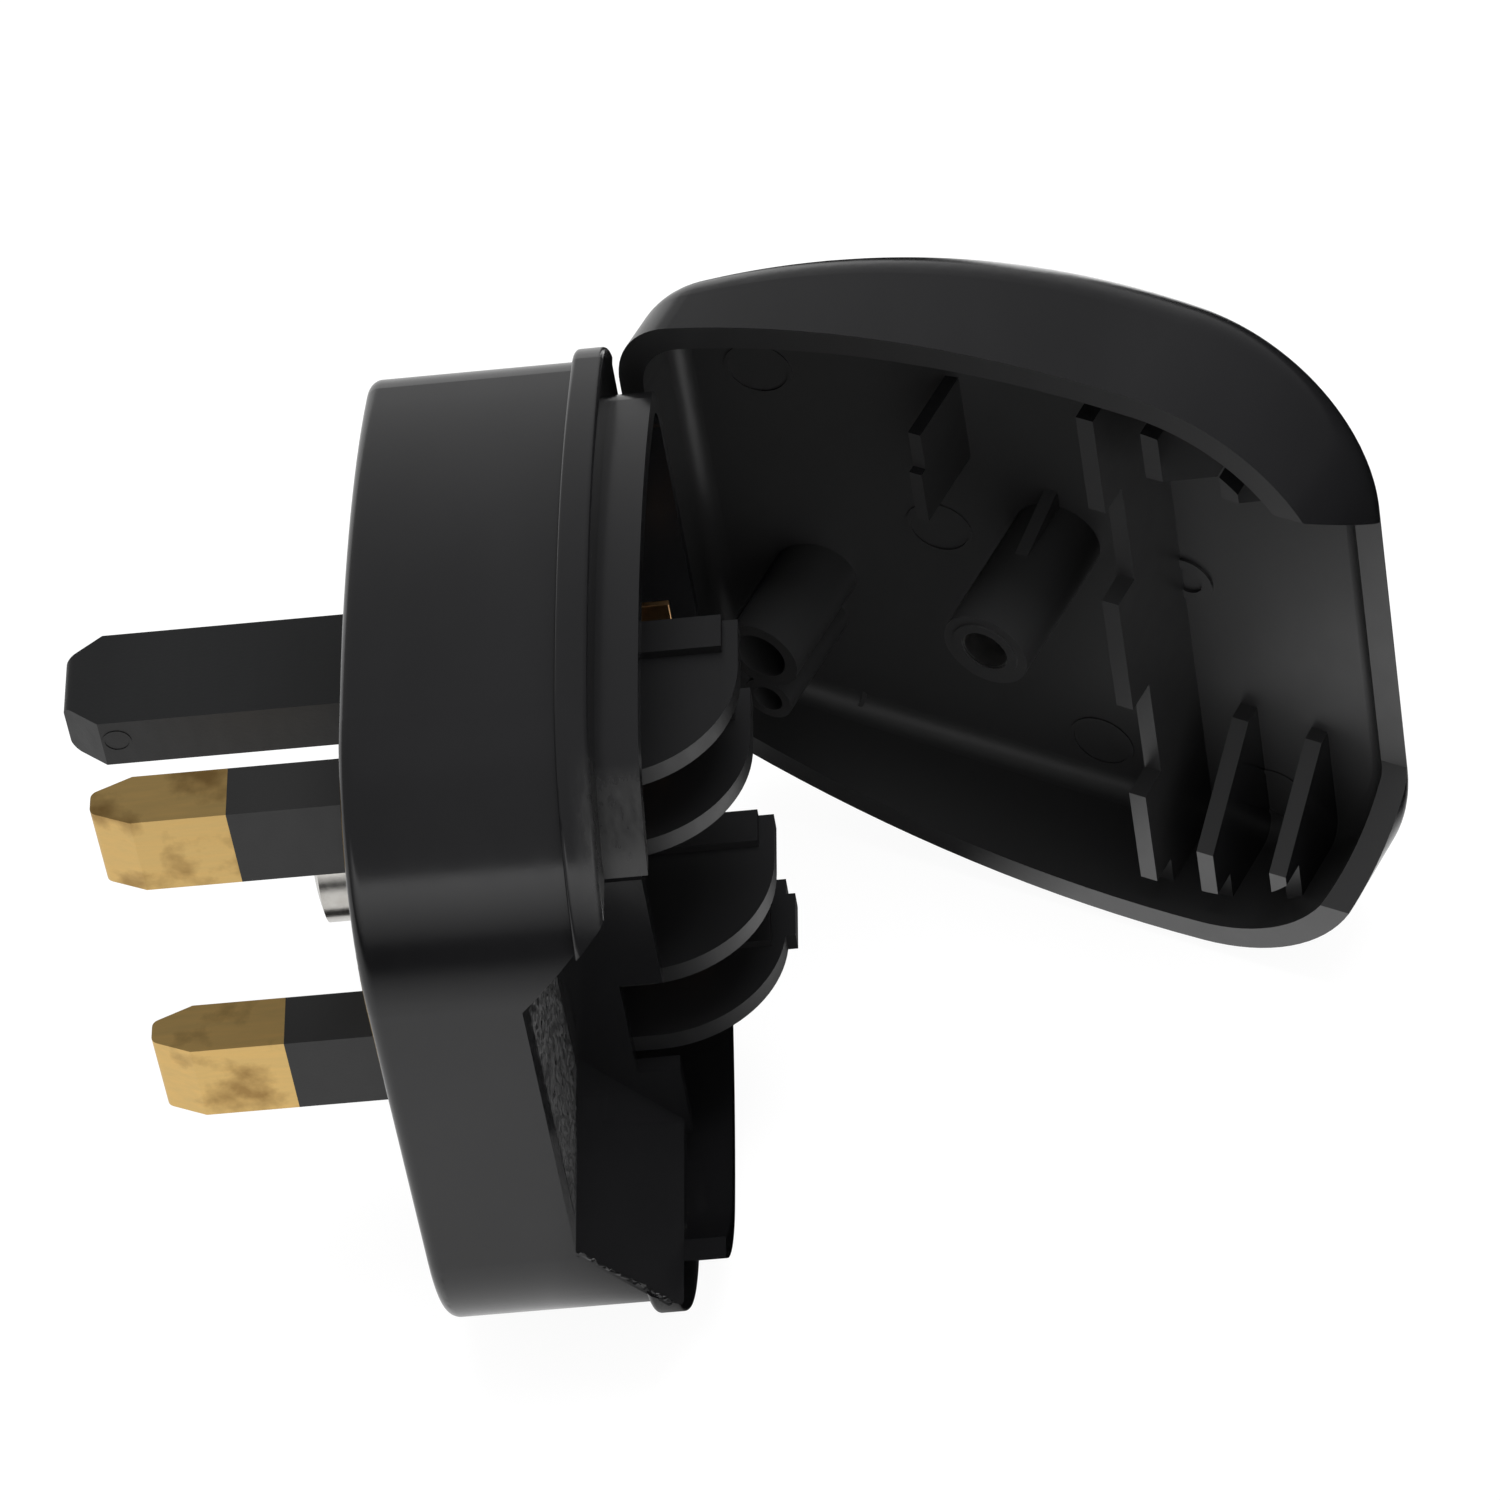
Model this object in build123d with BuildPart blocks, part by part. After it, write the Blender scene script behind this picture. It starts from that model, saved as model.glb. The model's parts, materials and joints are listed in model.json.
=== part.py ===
from build123d import *
import math
import os

# A converter plug for a three-pin socket: a two-pin plug lies flat in its base and a hinged lid
# closes over it. X points away from the pins, Y towards the earth pin and the hinge, Z to one side.
# The origin is on the pin face, midway between the live and neutral pins. All sizes in millimetres.

# Outline of the base and the lid, seen along X
BASE_LOW = 18.2
BASE_HIGH = 32.8
WIDEST_Y = -1.2
SIDE_R = 79.0
LOW_CORNER_R = 13.5
HIGH_CORNER_R = 7.0

# Base moulding
RIM_X = 15.6
WALL = 2.0
FACE_T = 2.5
FACE_EDGE_R = 0.9
BEAD_H = 2.1
BEAD_PROUD = 0.8
BEAD_EDGE_R = 0.35
LIP_T = 1.4
LIP_RISE = 2.7
LIP_ROOT = 4.5
LIP_GAP = 0.35

# Opening for the two-pin plug, half in the base and half in the lid
BAY_FLOOR_X = 9.6
BAY_FLOOR_HALF = 11.7
BAY_RIM_HALF = 18.6
BAY_T = 1.5
CROSS_WALL_Y = -0.9
CROSS_WALL_T = 1.2
CROSS_WALL_X = 16.0
CROSS_GATE_X = 13.2

# Pins of the three-pin side
PIN_PITCH = 22.23
PIN_WIDTH = 6.35
PIN_THICK = 3.95
PIN_OUT = 17.7
PIN_TIP_X = 2.6
PIN_TIP_Y = 1.15
EARTH_Y = 22.23
EARTH_WIDTH = 7.92
EARTH_OUT = 22.73
EARTH_TIP_X = 2.4
EARTH_TIP_Y = 1.9
EARTH_FLANGE = 1.4
EARTH_FLANGE_T = 2.0
SLEEVE_OUT = 9.0
SLEEVE_T = 0.65
PIN_HOLE_GAP = 0.05
PIN_INSIDE = 1.8
PIN_TIP_ROUND = 0.6
EARTH_TIP_ROUND = 0.7

# Hinge
HINGE_DROP = 0.4
HINGE_OUT = 0.1
HINGE_PIN_R = 0.8
HINGE_FIT = 0.06
KNUCKLE_R = 1.5
KNUCKLE_GAP = 0.3
KNUCKLE_END = 9.0
LID_KNUCKLE_END = 5.2
EDGE_RELIEF_R = 1.1
EDGE_RELIEF_END = 17.0
LID_OPEN = 62.5

# Lid moulding
LID_GAP = 0.3
LID_DEPTH_HINGE = 5.2
LID_DEPTH_MID = 10.8
LID_DEPTH_END = 9.4
LID_MID_Y = 2.8
LID_WALL = 1.8
LID_EDGE_R = 3.8
LID_INNER_R = 1.5
LID_OVERRUN = 1.0
LID_BOSS_R = 3.0
LID_BOSS_STAND = 2.0
GUSSET_T = 0.9
GUSSET_REACH = 2.0
GUSSET_DEPTH = 4.0
TUBE_END_SPACE = 8.4
TUBE_Z = -7.3
TUBE_R = 2.75
TUBE_WALL = 0.9
SIDE_TUBE_Z = -11.5
SIDE_TUBE_R = 1.75
SIDE_TUBE_WALL = 0.7
TUBE_HOLE_DEPTH = 6.0
STEP_WALL_GAP = 0.3
STEP_WALL_T = 0.9
STEP_WALL_LOW_Z = 6.1
STEP_WALL_MID_Z = 10.4
STEP_WALL_HIGH_Z = 13.5
STEP_WALL_EDGE = 2.1
STEP_WALL_DROP = 0.6
CROSS_PLATE_GAP = 0.4
CROSS_EDGE = 0.6
CROSS_GATE_EDGE = 3.0
RIB_Y = (-5.9, -11.2)
RIB_T = 1.2
RIB_EDGE = 0.8

# Carrier of the socket contacts
SOCKET_PITCH = 18.6
SOCKET_X = 15.8
PLATE_T = 1.4
PLATE_SPAN = 5.0
PLATE_TIP_X = 23.2
PLATE_LOW_Y = -0.6
PLATE_HIGH_Y = 11.9
PLATE_CORNER_R = 8.5
END_WALL_T = 1.4
END_WALL_X = 21.6
BAND_LOW_Y = 9.2
LAST_BAND_LOW_Y = 6.2
BAND_RISE = 0.6
BAND_SHORT = 1.0
CONTACT_HOLE_R = 2.6
TAB_RISE = 0.6
TAB_LOW_Y = 7.0
TAB_HIGH_Y = 10.6
CARRIER_X = 4.6
CARRIER_T = 1.8
CARRIER_LOW_Y = -5.0
CARRIER_HIGH_Y = 13.2
CARRIER_SCREW_Y = -3.0
CARRIER_SCREW_Z = 3.5
CARRIER_SCREW_R = 1.0
CARRIER_HEAD_R = 1.9
CARRIER_HEAD_T = 1.1
CARRIER_POST_R = 1.9

# Socket contacts, fuse and straps
SOCKET_BORE_R = 2.03
SOCKET_T = 0.4
SOCKET_LOW_Y = 6.0
SOCKET_HIGH_Y = 14.0
SOCKET_ROUND_END_Y = 11.3
SOCKET_SLIT = 0.8
TAIL_T = 0.6
TAIL_HALF = 2.3
STRAP_X = 2.8
STRAP_T = 0.8
STRAP_HALF = 2.5
STRAP_HIGH_Y = 16.2
FUSE_LENGTH = 25.4
FUSE_R = 3.18
FUSE_BODY_R = 2.95
FUSE_CAP_LENGTH = 5.4
FUSE_CAP_T = 0.35
FUSE_GAP = 0.3
FUSE_END_SPACE = 10.0
FUSE_SIDE_SPACE = 3.34
FUSE_CLIP_T = 0.4
FUSE_CLIP_LENGTH = 4.0
FUSE_CLIP_MOUTH = 4.2

# Captive closing screw, backed out of the pin face
SCREW_Y = 6.8
SCREW_HEAD_R = 4.3
SCREW_HEAD_T = 2.6
SCREW_BACKED_OUT = 6.0
SCREW_SHANK_R = 1.45
SCREW_TIP_X = 13.3
SCREW_RECESS_T = 2.9
SCREW_RECESS_GAP = 0.4
SCREW_HOLE_GAP = 0.25
SCREW_BOSS_X = 4.3
SCREW_BOSS_WALL = 1.4
SCREW_SLOT_W = 1.1
SCREW_SLOT_DEPTH = 1.2
SCREW_DOME = 0.7
RETAINER_R = 2.5
RETAINER_T = 0.8
INSERT_R = 2.1
INSERT_LENGTH = 6.6
INSERT_FIT = 0.08

# Values that follow from the sizes above
INNER_PLATE_Z = SOCKET_PITCH / 2 - PLATE_SPAN / 2 - PLATE_T
OUTER_PLATE_Z = SOCKET_PITCH / 2 + PLATE_SPAN / 2
CARRIER_HALF = OUTER_PLATE_Z + PLATE_T
FUSE_CLIP_R = FUSE_R + FUSE_CLIP_T
FUSE_X = STRAP_X + STRAP_T + FUSE_CLIP_T / 2 + FUSE_R
FUSE_Y = BASE_HIGH - WALL - FUSE_END_SPACE - FUSE_LENGTH / 2
FUSE_Z = -CARRIER_HALF - FUSE_GAP - FUSE_CLIP_R
HALF_WIDTH = FUSE_CLIP_R - FUSE_Z + FUSE_SIDE_SPACE + WALL
SIDE_CENTRE_Z = HALF_WIDTH - SIDE_R
HINGE_X = RIM_X - HINGE_DROP
HINGE_Y = BASE_HIGH + HINGE_OUT
LID_RIM_X = RIM_X + LID_GAP
TUBE_Y = BASE_HIGH - TUBE_END_SPACE
LID_TOP_X = LID_RIM_X + LID_DEPTH_MID + 2.0
PIN_CORE_T = PIN_THICK - 2 * SLEEVE_T
PIN_CORE_W = PIN_WIDTH - 2 * SLEEVE_T
BAY_TOP_X = RIM_X + 2 * LIP_RISE
PLATE_LOW_FACES = (-OUTER_PLATE_Z - PLATE_T, -INNER_PLATE_Z - PLATE_T, INNER_PLATE_Z, OUTER_PLATE_Z)
BASE_KNUCKLES = ((-KNUCKLE_END, -LID_KNUCKLE_END - KNUCKLE_GAP), (LID_KNUCKLE_END + KNUCKLE_GAP, KNUCKLE_END))
CARRIER_SCREW_PLACES = ((CARRIER_SCREW_Y, CARRIER_SCREW_Z), (CARRIER_SCREW_Y, -CARRIER_SCREW_Z))
FUSE_CLIP_PIN_Y = FUSE_Y - FUSE_LENGTH / 2 + FUSE_CAP_LENGTH / 2
FUSE_CLIP_SOCKET_Y = FUSE_Y + FUSE_LENGTH / 2 - FUSE_CAP_LENGTH / 2

# the cross walls of the base and the lid leave two gates for the two-pin plug's pins
GATE_LOW_Z = INNER_PLATE_Z - CROSS_PLATE_GAP
GATE_HIGH_Z = CARRIER_HALF + CROSS_PLATE_GAP
GATE_WIDTH = GATE_HIGH_Z - GATE_LOW_Z
GATE_CENTRES = ((GATE_LOW_Z + GATE_HIGH_Z) / 2, -(GATE_LOW_Z + GATE_HIGH_Z) / 2)
BAY_END_Y = CROSS_WALL_Y - CROSS_WALL_T
INSERT_X = LID_RIM_X - LID_BOSS_STAND

# The opened lid is the closed one turned about the hinge axis
OPENED = Location((HINGE_X, HINGE_Y, 0), (0, 0, LID_OPEN)) * Location((-HINGE_X, -HINGE_Y, 0))

LID_DEPTH = Axis((0, 0, 0), (math.cos(math.radians(LID_OPEN)), math.sin(math.radians(LID_OPEN)), 0))


def side_z(y):
    """Half width of the outline at height y, before its corners are rounded."""
    return SIDE_CENTRE_Z + math.sqrt(SIDE_R**2 - (y - WIDEST_Y) ** 2)


def lid_plane(x):
    """Plane across the lid at closed distance x from the pin face."""
    return Plane(OPENED * Plane.YZ.offset(x).location)


def lid_side_plane(z):
    """Plane along the closed lid's length, for profiles seen from its side."""
    return Plane(OPENED * Plane.XY.offset(z).location)


def outline(plane, inset=0.0):
    """The plug's outline on a plane, drawn inside the outer surface by inset."""
    with BuildSketch(plane) as sketch:
        with BuildLine():
            low_z = side_z(-BASE_LOW)
            high_z = side_z(BASE_HIGH)
            Line((-BASE_LOW, -low_z), (-BASE_LOW, low_z))
            ThreePointArc((-BASE_LOW, low_z), (WIDEST_Y, HALF_WIDTH), (BASE_HIGH, high_z))
            Line((BASE_HIGH, high_z), (BASE_HIGH, -high_z))
            ThreePointArc((BASE_HIGH, -high_z), (WIDEST_Y, -HALF_WIDTH), (-BASE_LOW, -low_z))
        make_face()
        fillet(sketch.vertices().group_by(Axis.X)[0], radius=LOW_CORNER_R)
        fillet(sketch.vertices().group_by(Axis.X)[-1], radius=HIGH_CORNER_R)
        if inset:
            offset(amount=-inset)
    return sketch.sketch


def bay_profile(plane, floor_x, rim_x, top_x, margin=0.0):
    """Cross-section of the two-pin plug's opening with slanted sides, drawn as (x, z)."""
    with BuildSketch(plane) as sketch:
        with BuildLine():
            Polyline(
                (floor_x, -BAY_FLOOR_HALF),
                (rim_x, -BAY_RIM_HALF),
                (top_x, -BAY_RIM_HALF),
                (top_x, BAY_RIM_HALF),
                (rim_x, BAY_RIM_HALF),
                (floor_x, BAY_FLOOR_HALF),
                close=True,
            )
        make_face()
        if margin:
            offset(amount=margin, kind=Kind.INTERSECTION)
    return sketch.sketch


def cross_plane(y):
    """Plane across the base at height y, drawn as (x, z)."""
    return Plane(origin=(0, y, 0), x_dir=(1, 0, 0), z_dir=(0, -1, 0))


def lid_cross_plane(y):
    """The same plane in the opened lid."""
    return Plane(OPENED * cross_plane(y).location)


def lid_block(low_x, inset, edge_r):
    """A block of the lid's form, from closed distance low_x up to its arched back."""
    back_x = LID_RIM_X - inset
    with BuildPart() as block:
        extrude(outline(lid_plane(low_x), inset), amount=LID_TOP_X - low_x)
        with BuildSketch(lid_side_plane(0)):
            with BuildLine():
                ThreePointArc(
                    (back_x + LID_DEPTH_END, -BASE_LOW - LID_OVERRUN),
                    (back_x + LID_DEPTH_MID, LID_MID_Y),
                    (back_x + LID_DEPTH_HINGE, BASE_HIGH + LID_OVERRUN),
                )
                Polyline(
                    (back_x + LID_DEPTH_HINGE, BASE_HIGH + LID_OVERRUN),
                    (low_x - LID_OVERRUN, BASE_HIGH + LID_OVERRUN),
                    (low_x - LID_OVERRUN, -BASE_LOW - LID_OVERRUN),
                    (back_x + LID_DEPTH_END, -BASE_LOW - LID_OVERRUN),
                )
            make_face()
        extrude(amount=2 * HALF_WIDTH, both=True, mode=Mode.INTERSECT)
        fillet(block.faces().sort_by(LID_DEPTH)[-1].edges(), radius=edge_r)
    return block.part


os.makedirs("parts", exist_ok=True)

# Bead round the base's rim
with BuildPart() as bead:
    extrude(outline(Plane.YZ.offset(RIM_X - BEAD_H), inset=-BEAD_PROUD), amount=BEAD_H)
    fillet(bead.faces().sort_by(Axis.X)[0].edges(), radius=BEAD_EDGE_R)
    fillet(bead.faces().sort_by(Axis.X)[-1].edges(), radius=BEAD_EDGE_R)

# Lip that stands inside the lid's wall when the lid is closed
with BuildPart() as lip:
    extrude(outline(Plane.YZ.offset(RIM_X - LIP_ROOT), inset=WALL - LIP_GAP), amount=LIP_ROOT)
    extrude(outline(Plane.YZ.offset(RIM_X), inset=WALL + LIP_GAP), amount=LIP_RISE)
    inner_outline = outline(Plane.YZ.offset(RIM_X - LIP_ROOT), inset=WALL + LIP_GAP + LIP_T)
    extrude(inner_outline, amount=LIP_ROOT + LIP_RISE, mode=Mode.SUBTRACT)

# Trough that the two-pin plug's body lies in, still filled, with the cross wall at its end
with BuildPart() as trough:
    trough_outside = bay_profile(cross_plane(CROSS_WALL_Y), BAY_FLOOR_X, RIM_X, BAY_TOP_X, margin=BAY_T)
    extrude(trough_outside, amount=BASE_LOW + CROSS_WALL_Y)
    extrude(outline(Plane.YZ, inset=WALL / 2), amount=CROSS_WALL_X, mode=Mode.INTERSECT)
    with BuildSketch(Plane.YZ.offset(RIM_X)):
        with Locations(((BAY_END_Y - BASE_LOW) / 2, 0)):
            Rectangle(BASE_LOW + BAY_END_Y, 2 * HALF_WIDTH)
    extrude(amount=CROSS_WALL_X, mode=Mode.SUBTRACT)
    with BuildSketch(Plane.YZ.offset(CROSS_GATE_X)):
        for gate_z in GATE_CENTRES:
            with Locations((BAY_END_Y + CROSS_WALL_T, gate_z)):
                Rectangle(2 * CROSS_WALL_T, GATE_WIDTH)
    extrude(amount=CROSS_WALL_X, mode=Mode.SUBTRACT)

# Base shell
with BuildPart() as base_shell:
    extrude(outline(Plane.YZ), amount=RIM_X)
    fillet(base_shell.faces().sort_by(Axis.X)[0].edges(), radius=FACE_EDGE_R)
    add(bead.part)
    extrude(outline(Plane.YZ.offset(FACE_T), inset=WALL), amount=RIM_X, mode=Mode.SUBTRACT)
    add(lip.part)
    add(trough.part)
    # the opening for the two-pin plug's body, through the trough, the wall and the lip
    bay = bay_profile(cross_plane(BAY_END_Y), BAY_FLOOR_X, RIM_X, BAY_TOP_X)
    extrude(bay, amount=BASE_LOW + 2 * BEAD_PROUD + BAY_END_Y, mode=Mode.SUBTRACT)
    # boss, recess and hole for the closing screw
    with BuildSketch(Plane.YZ):
        with Locations((SCREW_Y, 0)):
            Circle(SCREW_HEAD_R + SCREW_RECESS_GAP + SCREW_BOSS_WALL)
    extrude(amount=SCREW_BOSS_X)
    with BuildSketch(Plane.YZ):
        with Locations((SCREW_Y, 0)):
            Circle(SCREW_HEAD_R + SCREW_RECESS_GAP)
    extrude(amount=SCREW_RECESS_T, mode=Mode.SUBTRACT)
    with BuildSketch(Plane.YZ):
        with Locations((SCREW_Y, 0)):
            Circle(SCREW_SHANK_R + SCREW_HOLE_GAP)
    extrude(amount=SCREW_BOSS_X, mode=Mode.SUBTRACT)
    # posts that the contact carrier is screwed to
    with BuildSketch(Plane.YZ.offset(FACE_T / 2)):
        with Locations(*CARRIER_SCREW_PLACES):
            Circle(CARRIER_POST_R)
    extrude(amount=CARRIER_X - FACE_T / 2)
    with BuildSketch(Plane.YZ.offset(FACE_T / 2)):
        with Locations(*CARRIER_SCREW_PLACES):
            Circle(CARRIER_SCREW_R + PIN_HOLE_GAP)
    extrude(amount=CARRIER_X - FACE_T / 2, mode=Mode.SUBTRACT)
    # pin holes in the face
    with BuildSketch(Plane.YZ):
        with Locations((0, PIN_PITCH / 2), (0, -PIN_PITCH / 2)):
            Rectangle(PIN_THICK + 2 * PIN_HOLE_GAP, PIN_WIDTH + 2 * PIN_HOLE_GAP)
        with Locations((EARTH_Y, 0)):
            Rectangle(EARTH_WIDTH + 2 * PIN_HOLE_GAP, PIN_THICK + 2 * PIN_HOLE_GAP)
    extrude(amount=FACE_T, mode=Mode.SUBTRACT)
    # room for the lid's rim edge and its knuckle to turn
    with BuildSketch(Plane.XY.offset(-EDGE_RELIEF_END)):
        with Locations((HINGE_X, HINGE_Y)):
            Circle(EDGE_RELIEF_R)
    extrude(amount=2 * EDGE_RELIEF_END, mode=Mode.SUBTRACT)
    for low_z, high_z in BASE_KNUCKLES:
        with BuildSketch(Plane.XY.offset(low_z)):
            with Locations((HINGE_X, HINGE_Y)):
                Circle(KNUCKLE_R)
        extrude(amount=high_z - low_z)
    with BuildSketch(Plane.XY.offset(-LID_KNUCKLE_END - KNUCKLE_GAP)):
        with Locations((HINGE_X, HINGE_Y)):
            Circle(KNUCKLE_R + KNUCKLE_GAP)
    extrude(amount=2 * (LID_KNUCKLE_END + KNUCKLE_GAP), mode=Mode.SUBTRACT)
    with BuildSketch(Plane.XY.offset(-KNUCKLE_END)):
        with Locations((HINGE_X, HINGE_Y)):
            Circle(HINGE_PIN_R + PIN_HOLE_GAP)
    extrude(amount=2 * KNUCKLE_END, mode=Mode.SUBTRACT)
base_shell.part.label = "base_shell"
export_step(base_shell.part, "parts/base_shell.step")

# Hinge pin, through the base's two knuckles and the lid's middle one
with BuildPart() as hinge_pin:
    with BuildSketch(Plane.XY.offset(-KNUCKLE_END)):
        with Locations((HINGE_X, HINGE_Y)):
            Circle(HINGE_PIN_R)
    extrude(amount=2 * KNUCKLE_END)
hinge_pin.part.label = "hinge_pin"
export_step(hinge_pin.part, "parts/hinge_pin.step")

# Live and neutral pins: brass, necked where the sleeve covers them, the tips tapered on both wide faces
for name, side in (("neutral_pin", 1), ("live_pin", -1)):
    pin_z = side * PIN_PITCH / 2
    with BuildPart() as pin:
        with BuildSketch(Plane.XY.offset(pin_z - PIN_WIDTH / 2)):
            with BuildLine():
                Polyline(
                    (-SLEEVE_OUT, -PIN_THICK / 2),
                    (-PIN_OUT + PIN_TIP_X, -PIN_THICK / 2),
                    (-PIN_OUT, -PIN_THICK / 2 + PIN_TIP_Y),
                    (-PIN_OUT, PIN_THICK / 2 - PIN_TIP_Y),
                    (-PIN_OUT + PIN_TIP_X, PIN_THICK / 2),
                    (-SLEEVE_OUT, PIN_THICK / 2),
                    close=True,
                )
            make_face()
        extrude(amount=PIN_WIDTH)
        tip_edges = pin.faces().sort_by(Axis.X)[0].edges()
        fillet(tip_edges.filter_by(Axis.Z), radius=PIN_TIP_ROUND)
        with BuildSketch(Plane.YZ.offset(-SLEEVE_OUT)):
            with Locations((0, pin_z)):
                Rectangle(PIN_CORE_T, PIN_CORE_W)
        extrude(amount=SLEEVE_OUT + FACE_T + PIN_INSIDE)
    pin.part.label = name
    export_step(pin.part, f"parts/{name}.step")
    with BuildPart() as sleeve:
        with BuildSketch(Plane.YZ.offset(-SLEEVE_OUT)):
            with Locations((0, pin_z)):
                Rectangle(PIN_THICK, PIN_WIDTH)
                Rectangle(PIN_CORE_T, PIN_CORE_W, mode=Mode.SUBTRACT)
        extrude(amount=SLEEVE_OUT + FACE_T)
    sleeve.part.label = f"{name}_sleeve"
    export_step(sleeve.part, f"parts/{name}_sleeve.step")

# Earth pin: one plastic moulding with a flange behind the face
with BuildPart() as earth_pin:
    with BuildSketch(Plane.XY.offset(-PIN_THICK / 2)):
        with BuildLine():
            Polyline(
                (FACE_T, EARTH_Y - EARTH_WIDTH / 2),
                (-EARTH_OUT + EARTH_TIP_X, EARTH_Y - EARTH_WIDTH / 2),
                (-EARTH_OUT, EARTH_Y - EARTH_WIDTH / 2 + EARTH_TIP_Y),
                (-EARTH_OUT, EARTH_Y + EARTH_WIDTH / 2 - EARTH_TIP_Y),
                (-EARTH_OUT + EARTH_TIP_X, EARTH_Y + EARTH_WIDTH / 2),
                (FACE_T, EARTH_Y + EARTH_WIDTH / 2),
                close=True,
            )
        make_face()
    extrude(amount=PIN_THICK)
    fillet(earth_pin.faces().sort_by(Axis.X)[0].edges().filter_by(Axis.Y), radius=EARTH_TIP_ROUND)
    with BuildSketch(Plane.YZ.offset(FACE_T)):
        with Locations((EARTH_Y, 0)):
            Rectangle(EARTH_WIDTH + 2 * EARTH_FLANGE, PIN_THICK + 2 * EARTH_FLANGE)
    extrude(amount=EARTH_FLANGE_T)
earth_pin.part.label = "earth_pin"
export_step(earth_pin.part, "parts/earth_pin.step")

# Contact carrier: a floor with two pairs of plates, each pair round one socket contact
with BuildPart() as contact_carrier:
    with BuildSketch(Plane.YZ.offset(CARRIER_X)):
        with Locations(((CARRIER_LOW_Y + CARRIER_HIGH_Y) / 2, 0)):
            Rectangle(CARRIER_HIGH_Y - CARRIER_LOW_Y, 2 * CARRIER_HALF)
    extrude(amount=CARRIER_T)
    for plate_z in PLATE_LOW_FACES:
        with BuildSketch(Plane.XY.offset(plate_z)) as plate:
            with Locations(((CARRIER_X + PLATE_TIP_X) / 2, (PLATE_LOW_Y + PLATE_HIGH_Y) / 2)):
                Rectangle(PLATE_TIP_X - CARRIER_X, PLATE_HIGH_Y - PLATE_LOW_Y)
            fillet(plate.vertices().group_by(Axis.Y)[0].sort_by(Axis.X)[-1], radius=PLATE_CORNER_R)
        extrude(amount=PLATE_T)
    for side in (1, -1):
        with BuildSketch(Plane.YZ.offset(CARRIER_X)):
            with Locations((PLATE_HIGH_Y - END_WALL_T / 2, side * SOCKET_PITCH / 2)):
                Rectangle(END_WALL_T, PLATE_SPAN)
        extrude(amount=END_WALL_X - CARRIER_X)
    # a raised band along each plate's rear edge, and a small tab on the last plate's tip
    for plate_z, band_low_y in zip(PLATE_LOW_FACES, (LAST_BAND_LOW_Y, BAND_LOW_Y, BAND_LOW_Y, BAND_LOW_Y)):
        with BuildSketch(Plane.XY.offset(plate_z + PLATE_T)):
            with Locations(((CARRIER_X + PLATE_TIP_X - BAND_SHORT) / 2, (band_low_y + PLATE_HIGH_Y) / 2)):
                Rectangle(PLATE_TIP_X - BAND_SHORT - CARRIER_X, PLATE_HIGH_Y - band_low_y)
        extrude(amount=BAND_RISE)
    with BuildSketch(Plane.XY.offset(PLATE_LOW_FACES[0])):
        with Locations((PLATE_TIP_X, (TAB_LOW_Y + TAB_HIGH_Y) / 2)):
            Rectangle(2 * TAB_RISE, TAB_HIGH_Y - TAB_LOW_Y)
    extrude(amount=PLATE_T)
    # clear the socket contacts, the closing screw and the carrier's own screws
    with BuildSketch(Plane.XZ.offset(-PLATE_HIGH_Y - 1)):
        with Locations((SOCKET_X, SOCKET_PITCH / 2), (SOCKET_X, -SOCKET_PITCH / 2)):
            Circle(CONTACT_HOLE_R)
    extrude(amount=PLATE_HIGH_Y + 2 - LAST_BAND_LOW_Y, mode=Mode.SUBTRACT)
    with BuildSketch(Plane.YZ.offset(CARRIER_X)):
        with Locations((SCREW_Y, 0)):
            Circle(RETAINER_R + SCREW_RECESS_GAP)
        with Locations(*CARRIER_SCREW_PLACES):
            Circle(CARRIER_SCREW_R + PIN_HOLE_GAP)
    extrude(amount=CARRIER_T, mode=Mode.SUBTRACT)
contact_carrier.part.label = "contact_carrier"
export_step(contact_carrier.part, "parts/contact_carrier.step")

# The two screws that hold the carrier on its posts
with BuildPart() as carrier_screws:
    with BuildSketch(Plane.YZ.offset(FACE_T)):
        with Locations(*CARRIER_SCREW_PLACES):
            Circle(CARRIER_SCREW_R)
    extrude(amount=CARRIER_X + CARRIER_T - FACE_T)
    with BuildSketch(Plane.YZ.offset(CARRIER_X + CARRIER_T)):
        with Locations(*CARRIER_SCREW_PLACES):
            Circle(CARRIER_HEAD_R)
    extrude(amount=CARRIER_HEAD_T)
    fillet(carrier_screws.faces().sort_by(Axis.X)[-2:].edges(), radius=CARRIER_HEAD_T / 3)
    with BuildSketch(Plane.YZ.offset(CARRIER_X + CARRIER_T + CARRIER_HEAD_T / 2)):
        with Locations(*CARRIER_SCREW_PLACES):
            Rectangle(2 * CARRIER_HEAD_R, CARRIER_HEAD_T / 2)
    extrude(amount=CARRIER_HEAD_T, mode=Mode.SUBTRACT)
carrier_screws.part.label = "carrier_screws"
export_step(carrier_screws.part, "parts/carrier_screws.step")

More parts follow.
